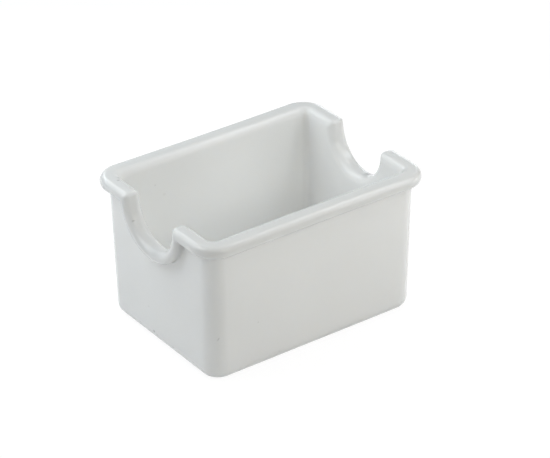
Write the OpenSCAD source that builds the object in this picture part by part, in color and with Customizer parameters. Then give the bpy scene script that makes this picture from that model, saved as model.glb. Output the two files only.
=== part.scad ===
// Sugar packet holder: a one-piece open box in white moulded plastic, with
// a rolled rim that runs round the top and dips through a finger notch in
// the middle of each end. Nothing on it moves and nothing is assembled.
//
// Frame: +Z up, origin on the table under the middle of the box, the long
// front wall facing -Y and the notched ends facing -X and +X. Millimetres.
//
// The body is one closed skin. A section through floor, wall and rim is
// carried round the plan, station by station. The walls lean out by their
// draft, so the rim is drawn in a frame that leans with them: n is outward
// from the inner face, w is up along the wall, and w = 0 is the rim's top.

/* [Overall size] */
// Length over the rim, end to end
rim_length = 89; // [80:0.5:110]
// Width over the rim, front to back
rim_width = 68; // [62:0.5:90]
// Height from the table to the top of the rim
height = 51.5; // [45:0.5:65]

/* [Walls and floor] */
// Thickness of the two end walls
end_wall = 3.5; // [2.4:0.1:4]
// Thickness of the two long walls
side_wall = 4.2; // [2.4:0.1:4.6]
// Thickness of the floor above the recess
floor_thickness = 3; // [2.2:0.1:4]
// Lean of the two end walls away from upright, in degrees
end_draft = 0.7; // [0.4:0.1:2]
// Lean of the two long walls away from upright, in degrees
side_draft = 1.2; // [0.4:0.1:2]
// Plan radius of the rim's outer edge at the four corners
rim_corner = 9; // [8:0.25:12]
// Plan radius of the walls' outer face at the four corners, at the table
base_corner = 6.4; // [6.2:0.2:9]
// Radius of the outer bottom edge
base_round = 3.2; // [1.6:0.1:3.6]
// Radius inside, where the floor meets the walls
floor_round = 2; // [1:0.1:2.5]

/* [Rolled rim] */
// How far the bead stands out from the wall
bead_overhang = 3.1; // [2.4:0.1:3.8]
// Height of the bead, from the rim's top to its underside
bead_height = 4.1; // [4:0.1:5]
// Radius along the inner top edge of the rim
lip_round = 2.7; // [1:0.1:3]
// Radius along the outer top edge of the bead
bead_top_round = 2.2; // [1:0.1:2.3]
// Radius along the outer bottom edge of the bead
bead_bottom_round = 1.7; // [1:0.1:1.8]
// Radius of the hollow where the bead's underside meets the wall
bead_root_round = 0.5; // [0.3:0.1:0.8]

/* [Finger notches] */
// Radius of the notch's round bottom, along the top of its rim
notch_radius = 12.9; // [9:0.1:15]
// Depth of the notch below the rim's top
notch_depth = 14.1; // [10:0.1:18]
// Radius at which the rim's top turns down into the notch
shoulder_round = 1.4; // [0.6:0.1:3]
// Smallest radius that the bead's lower lines keep as they turn down into the notch
shoulder_inner_round = 0.8; // [0.4:0.1:1]

/* [Underside] */
// Depth of the recess inside the standing ring
foot_recess = 0.6; // [0.3:0.1:1]
// Width of the flat ring that the box stands on
foot_width = 2; // [1.2:0.1:2.4]

/* [Hidden] */

// Steps in each rounded corner, notch shoulder and notch bottom, and in each arc of the section
corner_steps = 10;
shoulder_steps = 5;
notch_steps = 20;
arc_steps = 5;

// The corners turn about vertical axes at this distance from the middle
axis_x = rim_length / 2 - rim_corner;
axis_y = rim_width / 2 - rim_corner;

// The rim's lowest line
rim_foot = -bead_height - bead_root_round;

// Height of the notch circle's centre below the rim's top
notch_drop = notch_depth - notch_radius;

// The floor's upper face
floor_z = foot_recess + floor_thickness;

// What an end wall and a long wall have, blending round the corners, for an outward direction in plan
function blend(phi, end, side) = end * pow(cos(phi), 2) + side * pow(sin(phi), 2);

// A wall's lean and its thickness, and the rim's width from the inner face to the bead's outermost line
function lean(phi) = blend(phi, end_draft, side_draft);
function wall(phi) = blend(phi, end_wall, side_wall);
function rim_reach(phi) = wall(phi) + bead_overhang;

// The rim's top line where it meets the inner face: its height, and its
// distance from a corner's axis, so that the rounded bead ends at the outer sizes
function edge_z(phi) = height + lip_round * (sin(lean(phi)) + cos(lean(phi)) - 1);
function edge_r(phi) =
    let (d = lean(phi))
    rim_corner - (rim_reach(phi) - bead_top_round) * cos(d) - bead_top_round * (1 - sin(d));

// The wall's two faces at height z, as distances from a corner's axis
function inner_r(z, phi) = edge_r(phi) - (edge_z(phi) - z) * tan(lean(phi));
function outer_r(z, phi) = inner_r(z, phi) + wall(phi) / cos(lean(phi));

// How much farther in the corner axes sit at the table than at the rim, from the middle of a corner
base_shift = base_corner - outer_r(0, 45);

// Points along an arc from angle a to angle b
function arc(centre, r, a, b) = [
    for (k = [0:arc_steps])
        centre + r * [cos(a + (b - a) * k / arc_steps), sin(a + (b - a) * k / arc_steps)]
];

// The section in three lists of points. The rim's points are [n, w] in the
// leaning frame, the others are [distance from the axis, height]
function floor_section(phi) =
    let (z = floor_z + floor_round, r = inner_r(z, phi) - floor_round / cos(lean(phi)))
    arc([r, z], floor_round, -90, -lean(phi));

function rim_section(phi) =
    let (reach = rim_reach(phi))
    concat(
        arc([lip_round, -lip_round], lip_round, 180, 90),
        arc([reach - bead_top_round, -bead_top_round], bead_top_round, 90, 0),
        arc([reach - bead_bottom_round, bead_bottom_round - bead_height], bead_bottom_round, 0, -90),
        arc([wall(phi) + bead_root_round, rim_foot], bead_root_round, 90, 180)
    );

function base_section(phi) =
    let (r = outer_r(base_round, phi) - base_round / cos(lean(phi)))
    concat(
        arc([r, base_round], base_round, -lean(phi), -90),
        [[r - foot_width, 0], [r - foot_width, foot_recess]]
    );

// The line that height w of the rim's section follows through a notch, as
// [along the end wall, up the wall]. Leg 0 is the round bottom, where share
// runs from -1 to 1. Legs -1 and 1 are the shoulders, where share runs from
// 0 at the straight rim to 1 at the round bottom
function notch_line(w, leg, share) =
    let (
        shoulder = max(shoulder_round + w, shoulder_inner_round),
        rise = w - shoulder + notch_drop,
        across = sqrt(pow(notch_radius - w + shoulder, 2) - pow(rise, 2)),
        turn = atan2(across, -rise) * share
    )
    leg == 0
        ? [(notch_radius - w) * sin(turn), -notch_drop - (notch_radius - w) * cos(turn)]
        : [leg * (across - shoulder * sin(turn)), w - shoulder + shoulder * cos(turn)];

// The stations round the plan, each [axis x, axis y, outward direction, leg,
// share], with leg undefined where the rim is level
function corner_stations(quarter) =
    let (
        side_x = quarter == 0 || quarter == 3 ? 1 : -1,
        side_y = quarter < 2 ? 1 : -1
    )
    [for (k = [0:corner_steps]) [side_x, side_y, 90 * (quarter + k / corner_steps), undef, 0]];

function notch_stations(side, phi) = concat(
    [for (k = [0:shoulder_steps - 1]) [side, 0, phi, -1, k / shoulder_steps]],
    [for (k = [0:notch_steps]) [side, 0, phi, 0, 2 * k / notch_steps - 1]],
    [for (k = [shoulder_steps - 1:-1:0]) [side, 0, phi, 1, k / shoulder_steps]]
);

stations = concat(
    corner_stations(0),
    corner_stations(1),
    notch_stations(-1, 180),
    corner_stations(2),
    corner_stations(3),
    notch_stations(1, 0)
);

// A point of the rim at a station
function rim_point(s, p) =
    let (
        d = lean(s[2]),
        out = [cos(s[2]), sin(s[2]), 0],
        along = [-sin(s[2]), cos(s[2]), 0],
        up = [0, 0, 1],
        line = s[3] == undef ? [0, p.y] : notch_line(p.y, s[3], s[4])
    )
    [s.x * axis_x, s.y * axis_y, 0]
        + edge_r(s[2]) * out
        + edge_z(s[2]) * up
        + p.x * (cos(d) * out - sin(d) * up)
        + line.x * along
        + line.y * (sin(d) * out + cos(d) * up);

// A point of the floor or of the base at a station
function low_point(s, p) =
    let (
        out = [cos(s[2]), sin(s[2]), 0],
        along = [-sin(s[2]), cos(s[2]), 0]
    )
    [s.x * axis_x, s.y * axis_y, p.y]
        + p.x * out
        + (s[3] == undef
            ? base_shift * (out - [s.x, s.y, 0])
            : notch_line(rim_foot, s[3], s[4]).x * along);

// The section's points at one station, from the floor over the rim to the underside
function ring(s) = concat(
    [for (p = floor_section(s[2])) low_point(s, p)],
    [for (p = rim_section(s[2])) rim_point(s, p)],
    [for (p = base_section(s[2])) low_point(s, p)]
);

module holder_body() {
    rings = [for (s = stations) ring(s)];
    count = len(rings);
    rows = len(rings[0]);
    // The floor and the underside's panel start in the middle of a corner, off every straight edge
    first = floor(corner_steps / 2);
    order = [for (i = [0:count - 1]) (first + i) % count];
    color("white")
        polyhedron(
            points = [for (r = rings) each r],
            faces = concat(
                [
                    for (i = [0:count - 1], k = [0:rows - 2], half = [0, 1])
                        let (a = i * rows + k, b = (i + 1) % count * rows + k)
                        half == 0 ? [a, b, b + 1] : [a, b + 1, a + 1]
                ],
                [[for (i = [count - 1:-1:0]) order[i] * rows]],
                [[for (i = order) i * rows + rows - 1]]
            ),
            convexity = 8
        );
}

holder_body();
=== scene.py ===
"""Sugar packet holder: the dressed model, its studio and its camera.

The holder is one plastic moulding, so the scene has one piece. Its skin is a section through
floor, wall and rolled rim, carried round the plan ring by ring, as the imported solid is, but
with finer steps and the slight bow that such long walls take as they cool.
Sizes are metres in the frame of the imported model: +Z up, origin on the table under the middle
of the box, long front wall facing -Y, notched end walls facing -X and +X.
"""

import logging
import math
from dataclasses import dataclass, field
from enum import Enum

import bmesh
import bpy
from mathutils import Matrix, Vector


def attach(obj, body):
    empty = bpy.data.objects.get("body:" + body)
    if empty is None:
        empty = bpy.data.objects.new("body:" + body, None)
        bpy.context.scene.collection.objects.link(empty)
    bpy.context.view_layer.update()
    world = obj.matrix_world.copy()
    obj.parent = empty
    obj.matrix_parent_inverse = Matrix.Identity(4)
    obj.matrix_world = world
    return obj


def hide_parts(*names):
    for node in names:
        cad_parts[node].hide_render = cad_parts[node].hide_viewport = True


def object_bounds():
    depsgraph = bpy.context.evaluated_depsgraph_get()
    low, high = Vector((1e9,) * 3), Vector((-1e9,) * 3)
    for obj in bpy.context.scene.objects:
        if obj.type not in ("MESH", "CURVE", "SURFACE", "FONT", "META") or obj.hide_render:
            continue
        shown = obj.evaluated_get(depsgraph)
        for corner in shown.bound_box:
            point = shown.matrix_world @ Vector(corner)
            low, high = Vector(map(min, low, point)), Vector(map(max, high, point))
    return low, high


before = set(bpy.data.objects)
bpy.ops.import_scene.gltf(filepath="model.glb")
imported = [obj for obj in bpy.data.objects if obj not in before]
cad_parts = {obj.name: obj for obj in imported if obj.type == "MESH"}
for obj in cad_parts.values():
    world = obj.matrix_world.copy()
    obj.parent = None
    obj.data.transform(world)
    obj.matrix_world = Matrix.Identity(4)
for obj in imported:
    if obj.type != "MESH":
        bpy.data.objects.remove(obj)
CAD_LOW, CAD_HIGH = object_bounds()

log = logging.getLogger("holder")

# Two lengths in the plane of a section or of a wall, in metres.
Point = tuple[float, float]

# One end of a ramp: what it reads there, and what it gives.
RampEnd = tuple[float, float]
Ramp = tuple[RampEnd, RampEnd]

Colour = tuple[float, float, float]

QUARTER = math.pi / 2
MM_PER_METRE = 1000

# The skin's own value for the rim's painted shade and its polish: 1 on the rim, 0 elsewhere.
RIM_SHADE_AND_POLISH = "rim_shade_and_polish"


def direction(azimuth: float, elevation: float) -> Vector:
    """The direction of a place round the holder.

    Args:
        azimuth: degrees round it; 0 is in front, at -Y, and 90 at +X.
        elevation: degrees above the table.

    Returns:
        The unit vector from the holder to that place.
    """
    a, e = math.radians(azimuth), math.radians(elevation)
    return Vector((math.sin(a) * math.cos(e), -math.cos(a) * math.cos(e), math.sin(e)))


def opaque(colour: Colour) -> tuple[float, float, float, float]:
    """The colour as a node's socket takes it."""
    return *colour, 1.0


def grey(value: float) -> Colour:
    """The even grey of a brightness from 0 to 1."""
    return value, value, value


class Run(Enum):
    """The kinds of stretch that the rim follows round the plan."""

    CORNER = "corner"
    LONG_WALL = "long wall"
    BESIDE_NOTCH = "beside notch"
    SHOULDER = "shoulder"
    NOTCH_BOTTOM = "notch bottom"


class Shade(Enum):
    """How a softbox is coloured: plain, or a little to the cool or the warm side."""

    PLAIN = (1.0, 1.0, 1.0)
    COOL = (0.92, 0.975, 1.0)
    WARM = (1.0, 0.985, 0.90)


@dataclass(frozen=True)
class HolderSizes:
    """The moulding's sizes, in metres and radians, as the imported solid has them.

    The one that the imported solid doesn't have is wall_bow, how far the middle of a long wall's
    rim is drawn in.
    """

    length: float = CAD_HIGH.x - CAD_LOW.x
    width: float = CAD_HIGH.y - CAD_LOW.y
    height: float = CAD_HIGH.z - CAD_LOW.z
    end_wall: float = 0.0035
    side_wall: float = 0.0042
    floor_thickness: float = 0.003
    end_draft: float = math.radians(0.7)
    side_draft: float = math.radians(1.2)
    rim_corner: float = 0.009
    base_corner: float = 0.0064
    base_round: float = 0.0032
    floor_round: float = 0.002
    bead_overhang: float = 0.0031
    bead_height: float = 0.0041
    lip_round: float = 0.0027
    bead_top_round: float = 0.0022
    bead_bottom_round: float = 0.0017
    bead_root_round: float = 0.0005
    notch_radius: float = 0.0129
    notch_depth: float = 0.0141
    shoulder_round: float = 0.0014
    shoulder_inner_round: float = 0.0008
    foot_recess: float = 0.0006
    foot_width: float = 0.002
    wall_bow: float = 0.00035

    @property
    def rim_foot(self) -> float:
        """Height, from the rim's top, of the lowest line of the rim's section."""
        return -self.bead_height - self.bead_root_round

    @property
    def floor_z(self) -> float:
        """Height of the floor's upper face."""
        return self.foot_recess + self.floor_thickness

    @property
    def axis(self) -> Vector:
        """Plan distance of the corners' axes from the middle, along X and Y."""
        return Vector((self.length / 2 - self.rim_corner, self.width / 2 - self.rim_corner))

    @staticmethod
    def blend(phi: float, end: float, side: float) -> float:
        """Blends an end wall's value into a long wall's round the corners.

        Args:
            phi: outward direction in plan, in radians from +X.
            end: the end walls' value.
            side: the long walls' value.

        Returns:
            The value for that direction.
        """
        return end * math.cos(phi) ** 2 + side * math.sin(phi) ** 2

    def lean(self, phi: float) -> float:
        """The wall's lean from upright, in radians, for an outward plan direction."""
        return self.blend(phi, self.end_draft, self.side_draft)

    def wall(self, phi: float) -> float:
        """The wall's thickness for an outward plan direction."""
        return self.blend(phi, self.end_wall, self.side_wall)

    def rim_reach(self, phi: float) -> float:
        """Distance from the inner face to the bead's outermost line."""
        return self.wall(phi) + self.bead_overhang

    def edge(self, phi: float) -> Point:
        """Where the rim's top line meets the inner face.

        Args:
            phi: outward direction in plan.

        Returns:
            Distance from the corner's axis, and height.
        """
        lean, top = self.lean(phi), self.bead_top_round
        out = (self.rim_reach(phi) - top) * math.cos(lean) + top * (1 - math.sin(lean))
        rise = self.lip_round * (math.sin(lean) + math.cos(lean) - 1)
        return self.rim_corner - out, self.height + rise

    def inner(self, z: float, phi: float) -> float:
        """Distance from the corner's axis to the inner face at a height.

        Args:
            z: height above the table.
            phi: outward direction in plan.

        Returns:
            The distance, in metres.
        """
        r, top = self.edge(phi)
        return r - (top - z) * math.tan(self.lean(phi))

    def outer(self, z: float, phi: float) -> float:
        """As inner, for the outer face."""
        return self.inner(z, phi) + self.wall(phi) / math.cos(self.lean(phi))

    def base_shift(self) -> float:
        """How much farther in the corner axes sit at the table than at the rim."""
        return self.base_corner - self.outer(0.0, math.pi / 4)


@dataclass(frozen=True)
class Station:
    """One place on the way round the plan.

    Attributes:
        run: the kind of stretch it lies on.
        side: signs of X and Y of the corner or wall that it belongs to.
        phi: outward direction in plan.
        share: how far along its run it is.
        hand: which side of the notch it is on, -1 or 1, or 0 elsewhere.
    """

    run: Run
    side: tuple[int, int]
    phi: float
    share: float = 0.0
    hand: int = 0


@dataclass(frozen=True)
class Fineness:
    """How finely the skin is divided.

    Attributes:
        corner: steps round a corner.
        long_wall: steps along a long wall.
        beside_notch: steps from a corner to the notch.
        shoulder: steps over a shoulder of the notch.
        notch_bottom: steps round the bottom of the notch.
        arc: steps in each arc of the section.
        rim_top: steps across the rim's flat top.
        wall_rows: steps up a wall.
        wall_edge: how far the closest rows lie from a wall's two ends, as a share of its height.
        panel_edge: how far the closest points lie from a flat panel's edge, as a share of the
            way to its middle line.
        middle_line: half the length of that line, in metres.
        joined: how close two points are for one to take the other's place, in metres.
    """

    corner: int = 18
    long_wall: int = 26
    beside_notch: int = 8
    shoulder: int = 9
    notch_bottom: int = 44
    arc: int = 14
    rim_top: int = 4
    wall_rows: int = 14
    wall_edge: float = 0.01
    panel_edge: float = 0.02
    middle_line: float = 0.025
    joined: float = 1e-6


@dataclass
class HolderShell:
    """The moulding's skin, built ring by ring and closed at the floor and the underside."""

    sizes: HolderSizes = field(default_factory=HolderSizes)
    fine: Fineness = field(default_factory=Fineness)

    def stations(self) -> list[Station]:
        """Every station round the plan, anticlockwise from the +X end of the +X +Y corner.

        Returns:
            The stations in order.
        """
        f = self.fine
        out: list[Station] = []
        for turn, side in enumerate(((1, 1), (-1, 1), (-1, -1), (1, -1))):
            for k in range(f.corner):
                out.append(Station(Run.CORNER, side, QUARTER * (turn + k / f.corner)))
            phi = QUARTER * (turn + 1)
            if turn % 2 == 0:
                shares = [k / f.long_wall for k in range(f.long_wall)]
                out += [Station(Run.LONG_WALL, side, phi, s) for s in shares]
            else:
                out += self.end_stations(side[0], phi)
        return out

    def end_stations(self, side: int, phi: float) -> list[Station]:
        """Stations along one end wall: beside the notch, through it and on.

        Args:
            side: sign of the wall's X.
            phi: the wall's outward direction.

        Returns:
            The stations in order, without the next corner's first.
        """
        f = self.fine
        at = (side, 0)
        before = [k / f.beside_notch for k in range(f.beside_notch)]
        turn = [k / f.shoulder for k in range(f.shoulder)]
        bottom = [2 * k / f.notch_bottom - 1 for k in range(f.notch_bottom + 1)]
        return (
            [Station(Run.BESIDE_NOTCH, at, phi, s, -1) for s in before]
            + [Station(Run.SHOULDER, at, phi, s, -1) for s in turn]
            + [Station(Run.NOTCH_BOTTOM, at, phi, s) for s in bottom]
            + [Station(Run.SHOULDER, at, phi, s, 1) for s in reversed(turn)]
            + [Station(Run.BESIDE_NOTCH, at, phi, s, 1) for s in reversed(before[1:])]
        )

    def rim_line(self, w: float, at: Station) -> Point:
        """Where a line of the rim's section lies, in the plane of the wall.

        Args:
            w: the line's height in the section, from the rim's top.
            at: the station.

        Returns:
            Distance along the wall and up it, from the middle of its top.
        """
        s = self.sizes
        if at.run is Run.CORNER:
            return 0.0, w
        if at.run is Run.LONG_WALL:
            return s.axis.x * (2 * at.share - 1), w
        shoulder = max(s.shoulder_round + w, s.shoulder_inner_round)
        drop = s.notch_depth - s.notch_radius
        rise = w - shoulder + drop
        across = math.sqrt((s.notch_radius - w + shoulder) ** 2 - rise**2)
        if at.run is Run.BESIDE_NOTCH:
            return at.hand * (s.axis.y + (across - s.axis.y) * at.share), w
        turn = math.atan2(across, -rise) * at.share
        if at.run is Run.SHOULDER:
            t = at.hand * (across - shoulder * math.sin(turn))
            return t, w - shoulder + shoulder * math.cos(turn)
        radius = s.notch_radius - w
        return radius * math.sin(turn), -drop - radius * math.cos(turn)

    def axis_point(self, at: Station) -> Vector:
        """Plan point that the station's section is measured from.

        Args:
            at: the station.

        Returns:
            The point, on the table.
        """
        axis = self.sizes.axis
        if at.run is Run.CORNER:
            return Vector((at.side[0] * axis.x, at.side[1] * axis.y, 0))
        if at.run is Run.LONG_WALL:
            return Vector((0, at.side[1] * axis.y, 0))
        return Vector((at.side[0] * axis.x, 0, 0))

    @staticmethod
    def plan_directions(phi: float) -> tuple[Vector, Vector]:
        """The unit vectors out of a wall and along it, for its outward plan direction."""
        cos, sin = math.cos(phi), math.sin(phi)
        return Vector((cos, sin, 0)), Vector((-sin, cos, 0))

    def rim_point(self, at: Station, n: float, w: float) -> Vector:
        """A point of the rim.

        Args:
            at: the station.
            n: distance out from the inner face.
            w: height in the section, from the rim's top.

        Returns:
            The point in the frame.
        """
        lean = self.sizes.lean(at.phi)
        out, along = self.plan_directions(at.phi)
        up = Vector((0, 0, 1))
        r, z = self.sizes.edge(at.phi)
        t, h = self.rim_line(w, at)
        across = out * math.cos(lean) - up * math.sin(lean)
        rising = out * math.sin(lean) + up * math.cos(lean)
        start = self.axis_point(at) + out * r + up * z
        return start + across * n + along * t + rising * h

    def low_point(self, at: Station, r: float, z: float) -> Vector:
        """A point of the floor or of the base.

        Args:
            at: the station.
            r: distance from the corner's axis.
            z: height above the table.

        Returns:
            The point in the frame.
        """
        s = self.sizes
        shift = s.base_shift()
        out, along = self.plan_directions(at.phi)
        point = self.axis_point(at) + out * r + Vector((0, 0, z))
        if at.run is Run.CORNER:
            return point + out * shift - Vector((at.side[0], at.side[1], 0)) * shift
        t = self.rim_line(s.rim_foot, at)[0]
        if at.run is Run.LONG_WALL:
            return point + along * t * (1 - shift / s.axis.x)
        if at.run is Run.BESIDE_NOTCH:
            return point + along * (t - at.hand * shift * (1 - at.share))
        return point + along * t

    def arc(self, centre: Point, radius: float, start: float, end: float) -> list[Point]:
        """Points along an arc of the section.

        Args:
            centre: the arc's centre.
            radius: its radius.
            start: first angle, in radians.
            end: last angle, in radians.

        Returns:
            The points in order, ends included.
        """
        steps = self.fine.arc
        angles = [start + (end - start) * k / steps for k in range(steps + 1)]
        x, y = centre
        return [(x + radius * math.cos(a), y + radius * math.sin(a)) for a in angles]

    def rim_section(self, phi: float) -> list[Point]:
        """The rim's section, from the inner face over the bead to the outer face.

        Args:
            phi: outward direction in plan.

        Returns:
            Points with their distance out from the inner face and their height from the rim's top.
        """
        s = self.sizes
        reach = s.rim_reach(phi)
        top, bottom, root = s.bead_top_round, s.bead_bottom_round, s.bead_root_round
        inner = self.arc((s.lip_round, -s.lip_round), s.lip_round, 2 * QUARTER, QUARTER)
        crown = self.arc((reach - top, -top), top, QUARTER, 0.0)
        under = self.arc((reach - bottom, bottom - s.bead_height), bottom, 0.0, -QUARTER)
        hollow = self.arc((s.wall(phi) + root, s.rim_foot), root, QUARTER, 2 * QUARTER)
        steps = self.fine.rim_top
        flat = [self.between(inner[-1], crown[0], k / steps) for k in range(1, steps)]
        face = [self.between(crown[-1], under[0], 0.5)]
        shelf = [self.between(under[-1], hollow[0], 0.5)]
        return inner + flat + crown + face + under + shelf + hollow

    @staticmethod
    def between(a: Point, b: Point, share: float) -> Point:
        """The point a share of the way from a to b."""
        return a[0] + (b[0] - a[0]) * share, a[1] + (b[1] - a[1]) * share

    def wall_shares(self) -> list[float]:
        """Where a wall's rows lie between its two ends, with one close to each end.

        Returns:
            The shares of the way from its first end.
        """
        rows, edge = self.fine.wall_rows, self.fine.wall_edge
        return [edge, *(k / rows for k in range(1, rows)), 1 - edge]

    def ring(self, at: Station) -> list[Vector]:
        """The skin's points at one station, from the floor to the underside.

        Args:
            at: the station.

        Returns:
            The points in order.
        """
        s = self.sizes
        lean = s.lean(at.phi)
        z = s.floor_z + s.floor_round
        r = s.inner(z, at.phi) - s.floor_round / math.cos(lean)
        fillet = self.arc((r, z), s.floor_round, -QUARTER, -lean)
        floor = [self.low_point(at, *p) for p in fillet]
        rim = [self.rim_point(at, *p) for p in self.rim_section(at.phi)]
        r = s.outer(s.base_round, at.phi) - s.base_round / math.cos(lean)
        edge = self.arc((r, s.base_round), s.base_round, -lean, -QUARTER)
        base = [self.low_point(at, *p) for p in edge]
        foot = [self.low_point(at, r - s.foot_width, h) for h in (0.0, s.foot_recess)]
        shares = self.wall_shares()
        inside = [floor[-1].lerp(rim[0], k) for k in shares]
        outside = [rim[-1].lerp(base[0], k) for k in shares]
        return [
            *reversed(self.inward(floor[0])),
            *floor,
            *inside,
            *rim,
            *outside,
            *base,
            *foot,
            *self.inward(foot[-1]),
        ]

    def rim_shade_and_polish_shares(self) -> list[float]:
        """How much painted shade and polish each of a ring's points takes: 1 on the rim, fading out
        at its two feet.

        Returns:
            The shares, in the ring's order.
        """
        at = self.stations()[0]
        ring = self.ring(at)
        rim = self.rim_section(at.phi)
        first = len(self.inward(ring[0])) + self.fine.arc + 1 + len(self.wall_shares())
        last = first + len(rim) - 1
        fade = self.fine.arc
        return [max(0.0, min(1.0, (k - first) / fade, (last - k) / fade)) for k in range(len(ring))]

    def inward(self, edge: Vector) -> list[Vector]:
        """A flat panel's points from just inside its edge to its middle line.

        Args:
            edge: the panel's point at its edge.

        Returns:
            The two points in order.
        """
        reach = self.fine.middle_line
        middle = Vector((max(-reach, min(reach, edge.x)), 0, edge.z))
        return [edge.lerp(middle, self.fine.panel_edge), middle]

    def bowed(self, p: Vector) -> Vector:
        """The point after the long walls' bow.

        Args:
            p: a point of the skin as moulded.

        Returns:
            The point, drawn in most at the middle of a long wall's rim.
        """
        s = self.sizes
        along = max(0.0, 1 - (p.x / s.axis.x) ** 2)
        across = (2 * p.y / s.width) ** 3
        return p - Vector((0, s.wall_bow * along * across * (p.z / s.height) ** 2, 0))

    def join_middle(self, mesh: bpy.types.Mesh) -> None:
        """Joins the points that meet on the middle lines of the floor and of the underside.

        Args:
            mesh: the skin.
        """
        work = bmesh.new()
        work.from_mesh(mesh)
        bmesh.ops.remove_doubles(work, verts=work.verts, dist=self.fine.joined)
        work.to_mesh(mesh)
        work.free()

    def build(self) -> bpy.types.Object:
        """Builds the skin as one closed mesh.

        Returns:
            The new object.
        """
        rings = [[self.bowed(p) for p in self.ring(at)] for at in self.stations()]
        count, rows = len(rings), len(rings[0])
        points = [p for one in rings for p in one]
        faces: list[tuple[int, ...]] = []
        for i in range(count):
            j = (i + 1) % count
            a, b = i * rows, j * rows
            faces += [(a + k, a + k + 1, b + k + 1, b + k) for k in range(rows - 1)]
        mesh = bpy.data.meshes.new("holder_shell")
        mesh.from_pydata([tuple(p) for p in points], [], faces)
        mesh.update()
        mesh.shade_smooth()
        # Painted shade and polish on the rim: 1 there, 0 elsewhere.
        rim_shade_and_polish = mesh.attributes.new(RIM_SHADE_AND_POLISH, "FLOAT", "POINT")
        for index, share in enumerate(self.rim_shade_and_polish_shares() * count):
            rim_shade_and_polish.data[index].value = share
        self.join_middle(mesh)
        piece = bpy.data.objects.new("holder_shell", mesh)
        bpy.context.scene.collection.objects.link(piece)
        return piece


Value = float | tuple[float, ...] | bpy.types.NodeSocket


@dataclass(frozen=True)
class Nodes:
    """A node tree and short ways to add to it."""

    tree: bpy.types.NodeTree

    def add(self, kind: str, sockets: dict[str | int, Value], **settings: str) -> bpy.types.Node:
        """Adds a node.

        Args:
            kind: its type, without the ShaderNode that all of them start with.
            sockets: a constant or another node's socket for each input that it names.
            settings: the node's own settings.

        Returns:
            The new node.
        """
        node = self.tree.nodes.new("ShaderNode" + kind)
        for name, choice in settings.items():
            setattr(node, name, choice)
        for key, value in sockets.items():
            if isinstance(value, bpy.types.NodeSocket):
                self.tree.links.new(value, node.inputs[key])
            else:
                node.inputs[key].default_value = value
        return node

    def noise(self, place: Value, cells: float, detail: float = 2.0) -> bpy.types.NodeSocket:
        """Adds a soft noise with so many cells to the metre, and gives its value."""
        node = self.add("TexNoise", {"Vector": place, "Scale": cells, "Detail": detail})
        return node.outputs["Fac"]

    def ramp(self, value: Value, start: RampEnd, end: RampEnd) -> bpy.types.NodeSocket:
        """Adds a smooth ramp.

        Args:
            value: what it reads.
            start: a value, and the result up to there.
            end: a value, and the result from there on.

        Returns:
            The result's socket.
        """
        span = {
            "Value": value,
            "From Min": start[0],
            "From Max": end[0],
            "To Min": start[1],
            "To Max": end[1],
        }
        return self.add("MapRange", span, interpolation_type="SMOOTHSTEP").outputs["Result"]

    def combine(self, operation: str, a: Value, b: Value) -> bpy.types.NodeSocket:
        """Adds the named arithmetic on two values, and gives its result."""
        return self.add("Math", {0: a, 1: b}, operation=operation).outputs[0]

    def blend(self, share: Value, a: Value, b: Value) -> bpy.types.NodeSocket:
        """Adds a blend from colour a to colour b, and gives the colour."""
        mix = self.add("Mix", {"Factor": share, "A": a, "B": b}, data_type="RGBA")
        return mix.outputs["Result"]

    def seen(self) -> bpy.types.NodeSocket:
        """Adds the test for rays from the camera, a gloss or a clear body.

        Returns:
            A socket that is 1 for those rays and 0 for others.
        """
        path = self.add("LightPath", {}).outputs
        mirrored = self.combine("MAXIMUM", path["Is Glossy Ray"], path["Is Transmission Ray"])
        return self.combine("MAXIMUM", path["Is Camera Ray"], mirrored)


@dataclass(frozen=True)
class Mark:
    """A small grey mark on the skin, a spot or a scratch.

    Attributes:
        place: its middle, in millimetres.
        reach: half its size along its own three directions, in millimetres.
        depth: how dark its middle is, from 0 to 1.
        turn: its turn about X, Y and Z, in degrees.
        core: how much of its size is as dark as its middle, from 0 to 1.
    """

    place: tuple[float, float, float]
    reach: tuple[float, float, float]
    depth: float
    turn: tuple[float, float, float] = (0.0, 0.0, 0.0)
    core: float = 0.3

    def add(self, nodes: Nodes, place: bpy.types.NodeSocket) -> bpy.types.NodeSocket:
        """Adds the mark to a material.

        Args:
            nodes: the material's nodes.
            place: the coordinates that it reads.

        Returns:
            A socket that is the mark's depth in its middle and 0 outside it.
        """
        box = {
            "Vector": place,
            "Location": tuple(v / MM_PER_METRE for v in self.place),
            "Rotation": tuple(math.radians(v) for v in self.turn),
            "Scale": tuple(v / MM_PER_METRE for v in self.reach),
        }
        own = nodes.add("Mapping", box, vector_type="TEXTURE").outputs[0]
        away = nodes.add("VectorMath", {0: own}, operation="LENGTH").outputs["Value"]
        return nodes.ramp(away, (self.core, self.depth), (1.0, 0.0))


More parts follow.
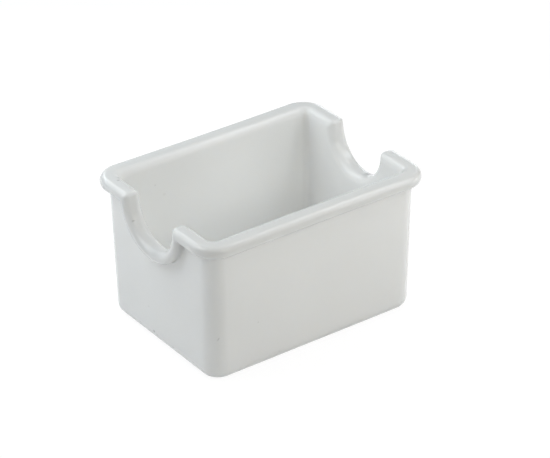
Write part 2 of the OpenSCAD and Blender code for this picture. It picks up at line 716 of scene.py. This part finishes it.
@dataclass(frozen=True)
class GlossPlastic:
    """Smooth white moulded plastic with a soft gloss, small dark marks, and painted shade on the rim
    and along the foot.

    Attributes:
        white: its colour where it is clean and bright.
        dull: its colour where it is a little dulled.
        rim_shade: the rim's painted shade, as a share of the walls' brightness.
        soil_and_shade: the colour of specks, and of the painted shade along the foot.
        cloud_cells: cells to the metre of the soft noise between clean and dulled spots.
        cloud_span: the values of that noise where a spot is bright and where it is dulled.
        roughness: the roughness of a clean, bright spot.
        dulling: how much rougher a dulled spot is.
        polish: how much smoother the rim is, where fingers rub it.
        rubbing: how much rougher a mark is, and the foot where its shade is painted.
        grain_cells: cells to the metre of the fine waviness of its surface.
        grain_strength: how strong that waviness is, from 0 to 1.
        grain_height: how high it is, in metres.
        soak: the share of the light that soaks into it.
        soak_tint: how far each of red, green and blue goes, as a share of soak_depth.
        soak_depth: how far that light goes, in metres.
        foot_shade: the depth of the painted shade along the foot, by height above the table.
        foot_shade_patches: how much of that painted shade is there, by the soft noise.
        speck_cells: cells to the metre that may each have a fine speck.
        speck_choice: the depth of a cell's speck, by the cell's own random value.
        speck_edge: how much of that depth is there, by the distance from the speck's middle.
        marks: the larger marks.
    """

    white: Colour = (0.91, 0.91, 0.905)
    dull: Colour = (0.88, 0.88, 0.872)
    # Painted shade: the rim's colour, darkened to this share.
    rim_shade: float = 0.885
    soil_and_shade: Colour = (0.22, 0.21, 0.19)
    cloud_cells: float = 38.0
    cloud_span: tuple[float, float] = (0.2, 0.8)
    roughness: float = 0.17
    dulling: float = 0.07
    polish: float = 0.06
    rubbing: float = 0.15
    grain_cells: float = 900.0
    grain_strength: float = 0.06
    grain_height: float = 0.0002
    soak: float = 0.85
    soak_tint: tuple[float, float, float] = (1.0, 0.98, 0.95)
    soak_depth: float = 0.003
    # Painted shade: darker towards the bottom of the walls, in patches.
    foot_shade: Ramp = ((0.0004, 0.16), (0.0038, 0.0))
    foot_shade_patches: Ramp = ((0.35, 0.3), (0.65, 1.0))
    speck_cells: float = 95.0
    speck_choice: Ramp = ((0.72, 0.0), (0.95, 0.3))
    speck_edge: Ramp = ((0.012, 1.0), (0.04, 0.0))
    marks: tuple[Mark, ...] = (
        Mark((-40.8, 4.0, 3.4), (0.8, 0.75, 0.6), 0.42),
        Mark((-40.8, 2.3, 2.9), (0.7, 0.5, 0.4), 0.18),
        Mark((-40.8, 12.3, 3.0), (0.7, 0.8, 0.4), 0.14),
        Mark((-40.8, -7.1, 2.8), (0.7, 0.7, 0.5), 0.16),
        Mark((-40.8, -18.6, 3.0), (0.7, 0.9, 0.5), 0.14),
        Mark((-40.4, 22.8, 51.5), (0.65, 0.6, 0.6), 0.36),
        # A darker patch on the far flank of the left notch.
        Mark((-43.0, 10.6, 42.8), (0.9, 0.5, 0.45), 0.32),
        Mark((-44.5, 19.6, 48.7), (0.5, 0.6, 0.5), 0.16),
        Mark((-23.1, -30.2, 17.4), (0.35, 0.6, 0.35), 0.2),
        Mark((-38.0, -29.2, 16.1), (0.3, 0.6, 1.1), 0.22, (0.0, 25.0, 0.0)),
        Mark((35.5, -29.8, 3.0), (0.9, 0.6, 0.5), 0.14),
        Mark((-23.9, 26.5, 42.4), (0.55, 0.5, 0.5), 0.12),
        Mark((-20.5, 26.4, 37.9), (0.85, 0.5, 0.7), 0.08),
        Mark((-40.9, 6.5, 11.8), (0.5, 0.4, 0.5), 0.11),
    )

    def make(self) -> bpy.types.Material:
        """Builds the material.

        Returns:
            The new material.
        """
        mat = bpy.data.materials.new("white_plastic")
        mat.use_nodes = True
        nodes = Nodes(mat.node_tree)
        place = nodes.add("TexCoord", {}).outputs["Object"]
        cloud = nodes.noise(place, self.cloud_cells)
        grain = nodes.noise(place, self.grain_cells)
        # Stains, and the painted shade along the foot.
        stain_and_shade = self.stain_and_shade(nodes, place, cloud)
        rim_shade_and_polish = nodes.add("Attribute", {}, attribute_name=RIM_SHADE_AND_POLISH).outputs["Fac"]
        clean = nodes.blend(cloud, opaque(self.white), opaque(self.dull))
        # Painted shade: a darker copy of the colour, put on the rim.
        rim_shaded = nodes.blend(cloud, self.rim_shaded(self.white), self.rim_shaded(self.dull))
        clean = nodes.blend(rim_shade_and_polish, clean, rim_shaded)
        bright, dulled = self.cloud_span
        rough = nodes.ramp(cloud, (bright, self.roughness), (dulled, self.roughness + self.dulling))
        rough = nodes.combine("SUBTRACT", rough, nodes.combine("MULTIPLY", rim_shade_and_polish, self.polish))
        relief = {
            "Strength": self.grain_strength,
            "Distance": self.grain_height,
            "Height": grain,
        }
        dressing = {
            "Base Color": nodes.blend(stain_and_shade, clean, opaque(self.soil_and_shade)),
            "Roughness": nodes.combine("ADD", rough, nodes.combine("MULTIPLY", stain_and_shade, self.rubbing)),
            "Normal": nodes.add("Bump", relief).outputs["Normal"],
        }
        shader = mat.node_tree.nodes["Principled BSDF"]
        shader.inputs["Subsurface Weight"].default_value = self.soak
        shader.inputs["Subsurface Radius"].default_value = self.soak_tint
        shader.inputs["Subsurface Scale"].default_value = self.soak_depth
        for name, socket in dressing.items():
            mat.node_tree.links.new(socket, shader.inputs[name])
        return mat

    def rim_shaded(self, colour: Colour) -> tuple[float, float, float, float]:
        """The colour with the rim's painted shade."""
        return opaque(tuple(v * self.rim_shade for v in colour))

    def stain_and_shade(self, nodes: Nodes, place: Value, cloud: Value) -> bpy.types.NodeSocket:
        """Adds the marks, a scatter of fine specks, and the painted shade along the foot.

        Args:
            nodes: the material's nodes.
            place: the coordinates that they read.
            cloud: the soft noise that breaks them up.

        Returns:
            A socket with the depth of the stain and of the painted shade.
        """
        height = nodes.add("SeparateXYZ", {"Vector": place}).outputs["Z"]
        # Painted shade along the foot, darker towards the table.
        foot = nodes.ramp(height, *self.foot_shade)
        total = nodes.combine("MULTIPLY", foot, nodes.ramp(cloud, *self.foot_shade_patches))
        cells = nodes.add("TexVoronoi", {"Vector": place, "Scale": self.speck_cells})
        drawn = nodes.add("SeparateColor", {"Color": cells.outputs["Color"]}).outputs["Red"]
        few = nodes.ramp(drawn, *self.speck_choice)
        near = nodes.ramp(cells.outputs["Distance"], *self.speck_edge)
        fine = nodes.combine("MULTIPLY", few, near)
        total = nodes.combine("MAXIMUM", total, fine)
        for mark in self.marks:
            total = nodes.combine("MAXIMUM", total, mark.add(nodes, place))
        return total


@dataclass(frozen=True)
class Softbox:
    """A square soft lamp that faces the holder.

    Attributes:
        name: its object's name.
        azimuth: where it stands round the holder, in degrees; 0 is in front, at -Y.
        elevation: its height above the table, in degrees.
        power: its power, in watts.
        shade: its colour.
        side: its width and height.
        distance: how far off it is.
    """

    name: str
    azimuth: float
    elevation: float
    power: float
    shade: Shade = Shade.PLAIN
    side: float = 0.13
    distance: float = 0.32

    def build(self, target: Vector) -> bpy.types.Object:
        """Sets up the lamp.

        Args:
            target: the point that it faces.

        Returns:
            The lamp's object.
        """
        lamp = bpy.data.lights.new(self.name, "AREA")
        lamp.size = self.side
        lamp.energy = self.power
        lamp.color = self.shade.value
        stand = bpy.data.objects.new(self.name, lamp)
        away = direction(self.azimuth, self.elevation)
        stand.location = target + away * self.distance
        stand.rotation_euler = (-away).to_track_quat("-Z", "Y").to_euler()
        stand.visible_camera = False
        bpy.context.scene.collection.objects.link(stand)
        return stand


@dataclass
class Studio:
    """The pale floor, the even surroundings and the softboxes.

    Attributes:
        floor_half: half the floor's length and width, in metres.
        floor_white: the floor's brightness for the light that it throws on the holder.
        floor_glow: how strongly the floor glows where it is seen.
        floor_faint: the floor's brightness where it is seen, which shows the shadow.
        ambient: the strength of the surroundings.
        boxes: the softboxes.
    """

    floor_half: float = 6.0
    floor_white: float = 0.85
    floor_glow: float = 0.9
    floor_faint: float = 0.15
    ambient: float = 0.05
    boxes: tuple[Softbox, ...] = (
        Softbox("front_high", 0.0, 38.0, 0.22, Shade.WARM),
        Softbox("front_right", 34.0, 30.0, 0.07, Shade.PLAIN, 0.07),
        Softbox("right_low", 60.0, 15.0, 0.17),
        Softbox("right_high", 60.0, 50.0, 0.16, Shade.COOL),
        Softbox("right_spark", 92.0, 62.0, 0.08, Shade.PLAIN, 0.08),
        Softbox("back_right_low", 126.0, 15.0, 0.1, Shade.COOL),
        Softbox("back", 180.0, 28.0, 0.1, Shade.COOL),
        Softbox("back_high", -165.0, 44.0, 0.22, Shade.COOL, 0.17),
        Softbox("back_left", -130.0, 28.0, 0.13, Shade.COOL),
        Softbox("left_high", -115.0, 50.0, 0.27, Shade.COOL, 0.16),
        Softbox("left", -80.0, 28.0, 0.075),
    )

    def build(self, target: Vector) -> None:
        """Sets up floor, surroundings and lamps.

        Args:
            target: the point that the lamps face.
        """
        self.floor()
        self.surroundings()
        for box in self.boxes:
            box.build(target)
            log.info("lamp %s", box.name)

    def floor(self) -> bpy.types.Object:
        """Builds the table top, which takes the holder's shadow and shows white where it is lit.

        Returns:
            The floor's object.
        """
        half = self.floor_half
        mesh = bpy.data.meshes.new("studio_floor")
        corners = [(-half, -half, 0), (half, -half, 0), (half, half, 0), (-half, half, 0)]
        mesh.from_pydata(corners, [], [(0, 1, 2, 3)])
        piece = bpy.data.objects.new("studio_floor", mesh)
        bpy.context.scene.collection.objects.link(piece)
        mat = bpy.data.materials.new("studio_white")
        mat.use_nodes = True
        mat.node_tree.nodes.clear()
        nodes = Nodes(mat.node_tree)
        matt = nodes.add("BsdfDiffuse", {"Color": opaque(grey(self.floor_white))})
        faint = nodes.add("BsdfDiffuse", {"Color": opaque(grey(self.floor_faint))})
        glow = nodes.add("Emission", {"Strength": self.floor_glow})
        shown = nodes.add("AddShader", {0: faint.outputs[0], 1: glow.outputs[0]})
        both = nodes.add("MixShader", {0: nodes.seen(), 1: matt.outputs[0], 2: shown.outputs[0]})
        nodes.add("OutputMaterial", {"Surface": both.outputs[0]})
        mesh.materials.append(mat)
        return piece

    def surroundings(self) -> None:
        """Sets the world to an even dim light."""
        world = bpy.data.worlds.new("studio")
        bpy.context.scene.world = world
        world.use_nodes = True
        light = world.node_tree.nodes["Background"]
        light.inputs["Color"].default_value = opaque(grey(1.0))
        light.inputs["Strength"].default_value = self.ambient


@dataclass(frozen=True)
class PhotoCamera:
    """The camera at the photograph's viewpoint.

    Attributes:
        azimuth: where it stands round the holder, in degrees; 0 is in front, at -Y.
        elevation: its height above the table, in degrees.
        roll: its turn about its own line of sight, in degrees.
        distance: how far off it is.
        lens: focal length, in millimetres on the default sensor.
        slide: how far it stands off the holder's middle, to its right and up.
    """

    azimuth: float = -35.475
    elevation: float = 30.186
    roll: float = -0.738
    distance: float = 0.910
    lens: float = 180.486
    slide: tuple[float, float] = (0.004399, 0.003431)

    def build(self, target: Vector) -> bpy.types.Object:
        """Sets up the camera and makes it the scene's.

        Args:
            target: the holder's middle.

        Returns:
            The camera's object.
        """
        back = direction(self.azimuth, self.elevation)
        level = direction(self.azimuth + 90.0, 0.0)
        turn = Matrix.Rotation(math.radians(self.roll), 3, back)
        right = turn @ level
        up = turn @ back.cross(level)
        data = bpy.data.cameras.new("photo_camera")
        data.lens = self.lens
        camera = bpy.data.objects.new("photo_camera", data)
        place = target + back * self.distance + right * self.slide[0] + up * self.slide[1]
        pose = Matrix((right, up, back)).transposed().to_4x4()
        pose.translation = place
        camera.matrix_world = pose
        bpy.context.scene.collection.objects.link(camera)
        bpy.context.scene.camera = camera
        return camera


def main() -> None:
    """Builds the studio, the camera and the holder."""
    logging.basicConfig(level=logging.INFO, format="%(message)s")
    bpy.context.scene.view_settings.view_transform = "Standard"
    middle = (CAD_LOW + CAD_HIGH) / 2
    PhotoCamera().build(middle)
    Studio().build(middle)
    shell = HolderShell().build()
    shell.data.materials.append(GlossPlastic().make())
    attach(shell, "root")
    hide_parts("holder_body")
    points, faces = len(shell.data.vertices), len(shell.data.polygons)
    log.info("piece %s: %d points, %d faces", shell.name, points, faces)


if __name__ == "__main__":
    main()
